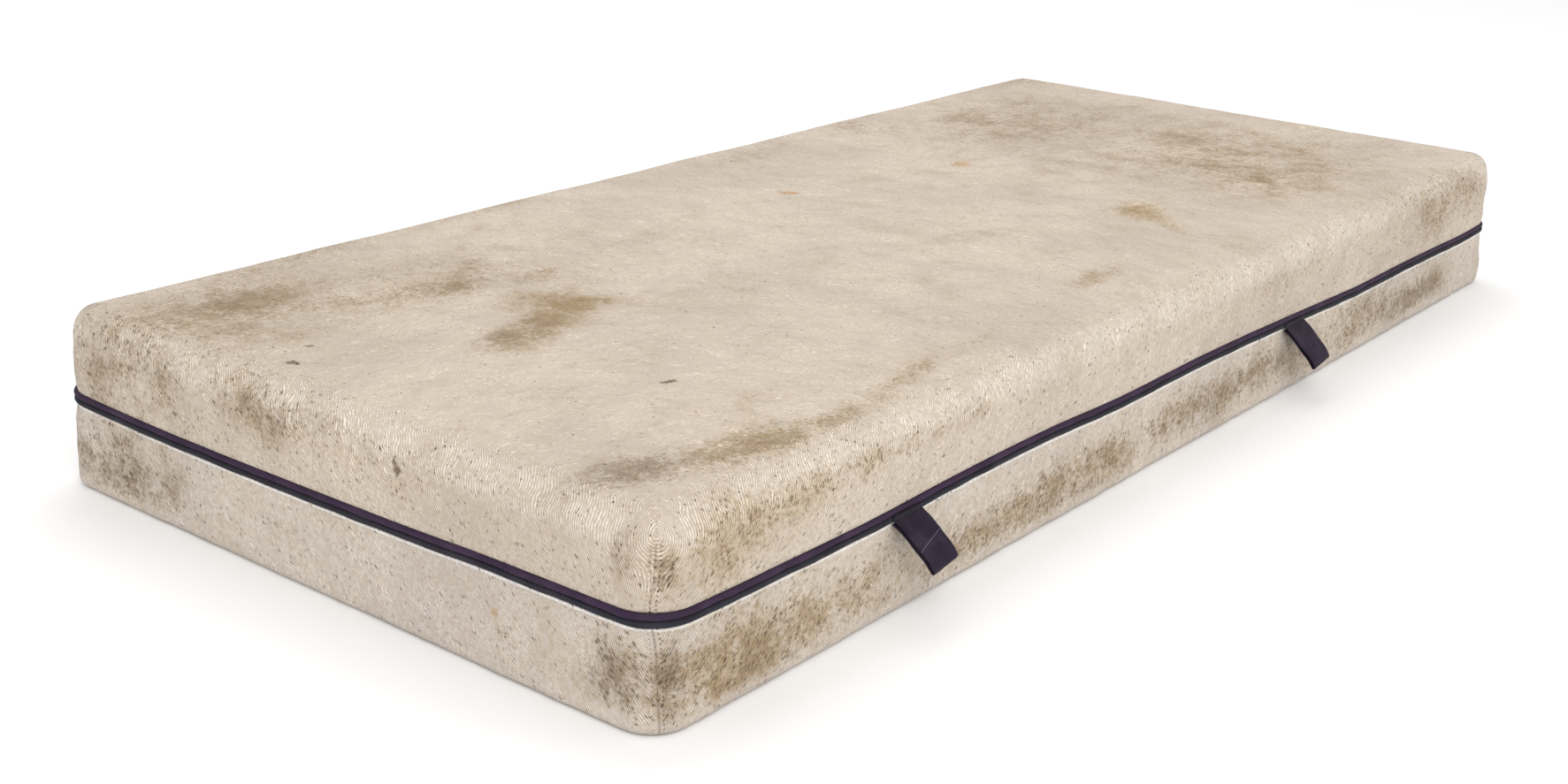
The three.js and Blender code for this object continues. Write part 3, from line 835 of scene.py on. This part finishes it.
def makeCover(values):
    points, soft = makeCoverPoints(values)
    rows, count = points.shape[:2]
    flat = points.reshape(-1, 3)
    faces = gridFaces(rows, count)
    baseFaces, topFaces = bridgeFaces(0, count, True), bridgeFaces((rows - 1) * count, count, False)

    # outward directions, from the grid itself
    around = np.roll(points, -1, axis=1) - np.roll(points, 1, axis=1)
    upward = np.gradient(points, axis=0)
    outward = np.cross(around, upward)
    outward /= np.maximum(np.linalg.norm(outward, axis=2, keepdims=True), 1e-9)
    onTop = smoothStep(150, 205, points[..., 2])
    rise = sum(
        (top * onTop + side * (1 - onTop)) * lumps(flat, size, seed).reshape(rows, count)
        for top, side, size, seed in zip(
            values["lumpRise"], values["sideRise"], values["lumpSize"], values["lumpSeed"]))
    strapSide = smoothStep(-440, -450, points[..., 1])
    low = smoothStep(110, 80, points[..., 2]) * smoothStep(-700, -200, points[..., 0])
    crumpled = strapSide * np.maximum(low, smoothStep(250, 650, points[..., 0]))
    crumples = lumps(flat, values["crumpleSize"], values["crumpleSeed"]).reshape(rows, count)
    rise = rise + crumpled * values["crumpleRise"] * crumples
    corner = smoothStep(0, 18, stations["fromSeam"])[None, :]
    onEdge = 1 - 0.6 * smoothStep(168, 196, points[..., 2]) * smoothStep(60, 20, insetOf(points))
    points += outward * (rise * soft[:, None] * (0.3 + 0.7 * corner) * onEdge)[..., None]
    points[..., 2] = np.maximum(points[..., 2], 0)

    # how far each ring lies below the shoulder, along the cloth
    steps = np.linalg.norm(np.diff(points, axis=0), axis=2)
    run = np.vstack([np.zeros(count), np.cumsum(steps, axis=0)])
    firstEdgeRing = rows - countTopRings(values) - values["topTurnSteps"] - 1
    shoulder = firstEdgeRing + round(values["topTurnSteps"] * values["shoulder"] / 90)
    depth = run[shoulder][None, :] - run
    baseDepth = depth[len(values["baseInsets"]) + 1]

    # ridges: rings round the corners' shoulders, then lines that lean away from them
    def ridgePath(seamAlong):
        away = np.abs(stations["along"] - seamAlong)
        away = np.minimum(away, perimeter - away)
        index = int(np.argmin(away))
        fromShoulder = points - points[shoulder, index]
        straight = np.linalg.norm(fromShoulder, axis=2)
        across = np.linalg.norm(fromShoulder[..., :2], axis=2)  # plain rings on the base
        away = away + (across - away) * smoothStep(0, 30, depth - baseDepth)
        lower = np.clip(depth, 0, baseDepth)
        lean = np.sqrt(lower**2 + cover["slantFrom"] ** 2) - cover["slantFrom"]
        slanted = away + cover["sideSlant"] * lean
        near = np.sqrt(away**2 + depth**2)
        side = near + (slanted - near) * smoothStep(18, 62, near)
        inward = smoothStep(0, -40, depth)
        return side + (straight - side) * inward, slanted

    nearCorner, nearSlant = ridgePath(body["length"] + body["width"])
    farCorner, farSlant = ridgePath(0)
    along = stations["along"]
    middleAlong = along + ((np.roll(along, -1) - along) % perimeter) / 2
    nearHalf = (middleAlong > body["length"]) & (middleAlong < perimeter - body["width"])
    isNear = np.ones(len(faces) + len(baseFaces) + len(topFaces), bool)
    isNear[:len(faces)] = np.tile(nearHalf, rows - 1)
    allFaces = np.vstack([faces, baseFaces, topFaces])
    path, slant = (np.where(isNear[:, None], near.ravel()[allFaces], far.ravel()[allFaces])
                   for near, far in ((nearCorner, farCorner), (nearSlant, farSlant)))
    brown, grey, yellow = stainShares(flat).T
    perPoint = {
        "depth": depth.ravel(), "fromCorner": np.tile(np.clip(stations["offset"], -40, 40), rows),
        "aboveTape": (points[..., 2] - levelHere[None, :]).ravel(),
        "brown": brown, "grey": grey, "yellow": yellow}
    return makeMesh("coverKnit", points, allFaces, makeCoverMaterial(cover), {
        "ridgePath": path, "slantPath": slant,
        **{label: part[allFaces] for label, part in perPoint.items()}})


coverPiece = makeCover(coverRings)
tuckInto(coverPiece, "cover", "mattress")
print("cover ready,", len(coverPiece.data.polygons), "faces")


# the two rolled tapes in the channel

tapes = {
    "height": 7,
    "gap": 0.3,
    "proud": 1.2,
    "sides": 18,
    "wave": 0.35,
    "waveSize": 70,
    "waveSeed": 17,
    "pinch": 0.22,
    "pinchSize": 45,
    "pinchSeed": 31,
    "upperColour": (0.033, 0.017, 0.040),
    "lowerColour": (0.018, 0.019, 0.025),
    "dust": (0.16, 0.13, 0.16),
    "roughness": 0.8,
    "dustAmount": 0.07,
    "ribPitch": 1.1,
    "ribColour": (0.01, 0.008, 0.012),
    "ribStrength": 0.3,
    "ribRise": 0.1,
}


def finishCloth(tree, shader, place, shade, rib, values):
    shade = tinted(tree, shade, rib, values["ribStrength"], values["ribColour"])
    shade = useGroup(tree, dust, {"Colour": shade, "Dust": (*values["dust"], 1),
                                  "Amount": values["dustAmount"], "Place": place})["Colour"]
    feed(tree, shader["Base Color"], shade)
    addBump(tree, shader, rib, values["ribRise"])


def makeTapeMaterial(name, colour, values):
    material, tree, shader = newMaterial(name, values["roughness"], sheen=0.02, specular=0.14)
    place = readPlace(tree)
    tint = fade(tree, cloud(tree, place, 40, 3), 0.3, 0.7)
    shade = mixColours(tree, tint, colour, scaled(colour, 1.5))
    rib = useGroup(tree, ribs, {"Across": readValue(tree, "along"), "Place": place,
                                "Pitch": values["ribPitch"], "Waver": 0.8})["Height"]
    finishCloth(tree, shader, place, shade, rib, values)
    return material


def makeTape(name, side, colour, values):
    halfHeight = (values["height"] - values["gap"]) / 2
    backOut = values["gap"] - body["channelDepth"]
    halfDepth, middleOut = (values["proud"] - backOut) / 2, (values["proud"] + backOut) / 2
    along = stations["along"]
    around = along / perimeter * 2 * math.pi
    ring = np.stack([np.cos(around), np.sin(around)], axis=1) * perimeter / 2 / math.pi
    rows = []
    for step in range(values["sides"]):
        turn = step / values["sides"] * 2 * math.pi
        pinched = lumps(ring, values["pinchSize"], values["pinchSeed"] + side)
        swell = 1 + values["pinch"] / halfHeight * pinched
        out = middleOut + halfDepth * math.cos(turn) * swell
        up = side * values["height"] / 2 + halfHeight * math.sin(turn) * swell
        up = up + values["wave"] * lumps(ring, values["waveSize"], values["waveSeed"])
        x = stations["acrossX"] * (body["length"] / 2 - tapeInset - body["cornerRadius"])
        y = stations["acrossY"] * (body["width"] / 2 - tapeInset - body["cornerRadius"])
        x = x + (body["cornerRadius"] + out) * np.cos(stations["angle"])
        y = y + (body["cornerRadius"] + out) * np.sin(stations["angle"])
        rows.append(np.stack([x, y, levelHere + up], axis=1))
    points = np.stack(rows)
    count = stations["count"]
    faces = gridFaces(values["sides"] + 1, count) % (values["sides"] * count)
    alongNext = along + ((np.roll(along, -1) - along) % perimeter)
    alongCorners = np.stack([along, alongNext, alongNext, along], axis=1)
    return makeMesh(name, points, faces, makeTapeMaterial(name + "Cloth", colour, values),
                    {"along": np.tile(alongCorners, (values["sides"], 1))})


upperTape = makeTape("upperTapeRoll", 1, tapes["upperColour"], tapes)
tuckInto(upperTape, "upper_tape", "binding_upper")
lowerTape = makeTape("lowerTapeRoll", -1, tapes["lowerColour"], tapes)
tuckInto(lowerTape, "lower_tape", "binding_lower")
print("tapes ready")


# the stitches that hold the tapes, in the groove between them

stitching = {
    "pitch": 4.5,
    "length": 3.0,
    "thick": 0.95,
    "up": 0.55,
    "out": 0.35,
    "sides": 6,
    "lean": 12,  # degrees
    "leanStray": 6,
    "stray": 0.4,
    "seed": 41,
    "colour": (0.012, 0.007, 0.012),
}


# The outline's place at each distance along, drawn in as far as the tapes and moved out by the
# given amount.
def placesAlong(along, out):
    order = np.argsort(stations["along"])
    angles = np.unwrap(stations["angle"][order])
    known = [np.append(part, last) for part, last in (
        (stations["along"][order], perimeter + stations["along"][order][0]),
        (stations["acrossX"][order], stations["acrossX"][order][0]),
        (stations["acrossY"][order], stations["acrossY"][order][0]),
        (angles, angles[0] + 2 * math.pi))]
    acrossX, acrossY, angle = (np.interp(along, known[0], part) for part in known[1:])
    innerX = body["length"] / 2 - tapeInset - body["cornerRadius"]
    innerY = body["width"] / 2 - tapeInset - body["cornerRadius"]
    reach = body["cornerRadius"] + out
    return np.stack([acrossX * innerX + reach * np.cos(angle),
                     acrossY * innerY + reach * np.sin(angle)], axis=1)


def makeStitches(values):
    draw = np.random.default_rng(values["seed"])
    count = int(perimeter / values["pitch"])
    strays = draw.uniform(-values["stray"], values["stray"], count)
    starts = (np.arange(count) + 0.5) * values["pitch"] + strays
    leans = values["lean"] + draw.uniform(-values["leanStray"], values["leanStray"], count)
    shares = np.array([-0.5, -0.42, 0, 0.42, 0.5])
    swells = np.array([0.25, 0.8, 1, 0.8, 0.25])
    points = []
    for share, swell in zip(shares, swells):
        along = (starts + share * values["length"]) % perimeter
        up = values["up"] + np.tan(np.radians(leans)) * share * values["length"]
        level = tapeLevel(along) + up
        for side in range(values["sides"]):
            turn = side / values["sides"] * 2 * math.pi
            radius = values["thick"] / 2 * swell
            spot = placesAlong(along, values["out"] - 0.5 * (1 - swell) + radius * math.cos(turn))
            points.append(np.column_stack([spot, level + radius * math.sin(turn)]))
    points = np.stack(points, axis=1)
    sides, ringCount = values["sides"], len(shares)
    single = []
    for ring in range(ringCount - 1):
        for side in range(sides):
            after = (side + 1) % sides
            here, above = ring * sides, (ring + 1) * sides
            single.append((above + side, above + after, here + after, here + side))
    last = (ringCount - 1) * sides
    single += [(0, 1, 2, 3), (0, 3, 4, 5),
               (last + 3, last + 2, last + 1, last), (last + 5, last + 4, last + 3, last)]
    firstPoints = np.arange(count)[:, None, None] * points.shape[1]
    faces = (np.array(single)[None] + firstPoints).reshape(-1, 4)
    material, tree, shader = newMaterial("darkThread", 0.7, specular=0.25)
    place = readPlace(tree)
    twist = useGroup(tree, ribs, {"Across": calcVector(tree, "DOT_PRODUCT", place, (1.0, 1.0, 1.4)),
                                  "Place": place, "Pitch": 0.6, "Waver": 0.2})["Height"]
    shade = mixColours(tree, twist, values["colour"], scaled(values["colour"], 2.2))
    feed(tree, shader["Base Color"], shade)
    addBump(tree, shader, twist, 0.06)
    return makeMesh("tapeStitches", points, faces, material)


tuckInto(makeStitches(stitching), "upper_tape")
print("stitches ready")


# the two webbing pull straps

webbing = {
    "straps": {
        "webbingLoopLeft": {"node": "pull_strap_left", "middle": -627, "width": 48, "steeper": 0,
                            "crease": (46, 34)},  # how far down at the left and the right edge
        "webbingLoopRight": {"node": "pull_strap_right", "middle": 263, "width": 55, "steeper": 5,
                             "crease": (-20, -20)},
    },
    "path": (  # out from the cover and down from the seam
        (2.3, -4), (2.3, -0.9), (4.2, 1.6), (9, 4.6), (16, 8.8), (22.6, 13.8), (29, 19.2),
        (36.4, 24.7), (45, 31.4), (50, 36.8), (52.8, 40.4), (53.2, 42.6), (51.6, 43.6),
        (49.6, 42.2), (46.9, 39.3), (42.2, 34.2), (34, 27.9), (26.5, 22.2), (20, 16.8),
        (13.8, 12.2), (7.4, 8.4), (3.2, 6.6), (0.5, 5.2)),
    "thickness": 1.6,
    "skewOut": 4.6,
    "skewDrop": 2.6,
    "sewnBelow": 3.4,
    "steepenQuickly": 4,
    "pathSteps": 110,
    "columns": 18,
    "colour": (0.0175, 0.0105, 0.0225),
    "tabColour": (0.020, 0.0195, 0.026),
    # painted highlight along the strap's crease
    "creaseHighlightColour": (0.15, 0.115, 0.17),
    "dust": (0.16, 0.13, 0.16),
    "dustAmount": 0.07,
    # painted shadow under the strap's fold
    "foldShadowColour": (0.008, 0.006, 0.010),
    "ribPitch": 1.3,
    "ribColour": (0.012, 0.008, 0.016),
    "ribStrength": 0.35,
    "ribRise": 0.16,
    "creaseRise": 0.5,
    "roughness": 0.75,
}


def makeWebbingMaterial(values):
    material, tree, shader = newMaterial(
        "webbingCloth", values["roughness"], sheen=0.02, specular=0.12)
    place = readPlace(tree)
    run = readValue(tree, "run")
    tint = fade(tree, cloud(tree, place, 14, 4), 0.3, 0.7)
    shade = mixColours(tree, tint, values["colour"], scaled(values["colour"], 1.45))
    tab = fade(tree, run, 5.5, 4.5)
    shade = mixColours(tree, tab, shade, values["tabColour"])
    # painted shadow: a dark line where the strap bends down from under the tape
    foldShadow = fade(tree, calc(tree, "ABSOLUTE", calc(tree, "SUBTRACT", run, 6.3)), 1.3, 0.5)
    shade = tinted(tree, shade, foldShadow, 0.6, values["foldShadowColour"])
    # painted highlight: a pale line across the strap where it is creased
    crease = fade(tree, calc(tree, "ABSOLUTE", readValue(tree, "fromCrease")), 0.75, 0.15)
    shade = tinted(tree, shade, crease, 0.8, values["creaseHighlightColour"])
    rib = useGroup(tree, ribs, {"Across": run, "Place": place, "Pitch": values["ribPitch"],
                                "Waver": 0.5})["Height"]
    finishCloth(tree, shader, place, shade, rib, values)
    return material


def makeStrap(name, place, values, material):
    table = np.array(values["path"], float)
    steps = np.sqrt(np.linalg.norm(np.diff(table, axis=0), axis=1))
    chord = np.concatenate([[0], np.cumsum(steps)])
    at = np.linspace(0, chord[-1], values["pathSteps"])
    out, down = (smoothTable(chord, column)(at) for column in table.T)
    line = np.stack([out, -down], axis=1)
    heading = np.gradient(line, axis=0)
    heading /= np.linalg.norm(heading, axis=1, keepdims=True)
    across = np.stack([-heading[:, 1], heading[:, 0]], axis=1)
    run = np.concatenate([[0], np.cumsum(np.linalg.norm(np.diff(line, axis=0), axis=1))])
    reach = table[:, 0].max()
    turn = math.radians(place["steeper"])
    columns, creases = [], []
    for share in np.linspace(0, 1, values["columns"]):
        edge = min(share, 1 - share) * place["width"]
        half = values["thickness"] / 2 * (0.62 + 0.38 * min(edge / 1.2, 1))
        fromCrease = run - (place["crease"][0] + share * (place["crease"][1] - place["crease"][0]))
        creases.append(np.concatenate([fromCrease, fromCrease[::-1]]))
        middle = line + across * (values["creaseRise"] * np.exp(-(fromCrease / 2.5) ** 2))[:, None]
        section = np.vstack([middle + across * half, (middle - across * half)[::-1]])
        out, up = section[:, 0], section[:, 1]
        hanging = np.clip(out / reach, 0, None) ** 2
        bend = turn * np.clip(np.clip(out / reach, 0, None) * values["steepenQuickly"], 0, 1)
        newOut = out * np.cos(bend) + up * np.sin(bend) - values["skewOut"] * hanging * share
        newUp = up * np.cos(bend) - out * np.sin(bend) + values["skewDrop"] * hanging * share
        x = np.full_like(newOut, place["middle"] + (share - 0.5) * place["width"])
        columns.append(np.stack([x, tapeInset - body["width"] / 2 - newOut, newUp], axis=1))
    along = 1.5 * body["length"] + body["width"] + place["middle"]
    points = np.stack(columns)
    points[..., 2] += float(tapeLevel(along)) - values["sewnBelow"]
    count = 2 * values["pathSteps"]
    faces = gridFaces(values["columns"], count)
    inner = np.arange(values["pathSteps"] - 1)
    firstCap = np.stack([inner, count - 1 - inner, count - 2 - inner, inner + 1], axis=1)
    lastCap = firstCap[:, ::-1] + (values["columns"] - 1) * count
    allFaces = np.vstack([faces, firstCap, lastCap])
    runs = np.tile(np.concatenate([run, run[::-1]]), values["columns"])
    piece = makeMesh(name, points, allFaces, material, {
        "run": runs[allFaces], "fromCrease": np.concatenate(creases)[allFaces]})
    return piece, run[-1]


webbingMaterial = makeWebbingMaterial(webbing)
for name, place in webbing["straps"].items():
    strapPiece, cutLength = makeStrap(name, place, webbing, webbingMaterial)
    tuckInto(strapPiece, "webbing", place["node"])
    print(name, "is cut", round(cutLength), "mm long")


# floor and light

studio = {
    "floorSize": 16,  # metres
    "floorDrop": 0.5,  # millimetres
    "floorColour": (0.93, 0.93, 0.93),
    "worldStrength": 0.85,
    "lamps": (  # place, size in metres, power in watts
        ((-3.0, -3.4, 3.6), 3.0, 95),
        ((1.5, 2.0, 4.5), 4.0, 70),
        ((-5.2, -1.2, 1.5), 2.6, 22),
        ((2.2, -4.5, 1.6), 2.6, 24),
    ),
}


def makeStudio(values):
    half = values["floorSize"] / 2 / mm
    material, tree, shader = newMaterial("paleFloor", 0.9, specular=0.1)
    place = readPlace(tree)
    colour = values["floorColour"]
    shade = mixColours(tree, cloud(tree, place, 900, 2), colour, scaled(colour, 0.99))
    feed(tree, shader["Base Color"], shade)
    square = [(-half, -half), (half, -half), (half, half), (-half, half)]
    points = [(x, y, -values["floorDrop"]) for x, y in square]
    floor = makeMesh("paleFloor", points, [(0, 1, 2, 3)], material)
    world = bpy.data.worlds.new("softWhite")
    bpy.context.scene.world = world
    world.use_nodes = True
    world.node_tree.nodes["Background"].inputs["Color"].default_value = (1, 1, 1, 1)
    world.node_tree.nodes["Background"].inputs["Strength"].default_value = values["worldStrength"]
    for index, (place, size, power) in enumerate(values["lamps"]):
        light = bpy.data.lights.new(f"softLamp{index}", "AREA")
        light.energy, light.size, light.shape = power, size, "DISK"
        lamp = bpy.data.objects.new(f"softLamp{index}", light)
        lamp.location = place
        aim = Vector((0, 0, 0.1)) - Vector(place)
        lamp.rotation_euler = aim.to_track_quat("-Z", "Y").to_euler()
        bpy.context.scene.collection.objects.link(lamp)


makeStudio(studio)
bpy.context.scene.view_settings.view_transform = "Standard"
print("studio ready")
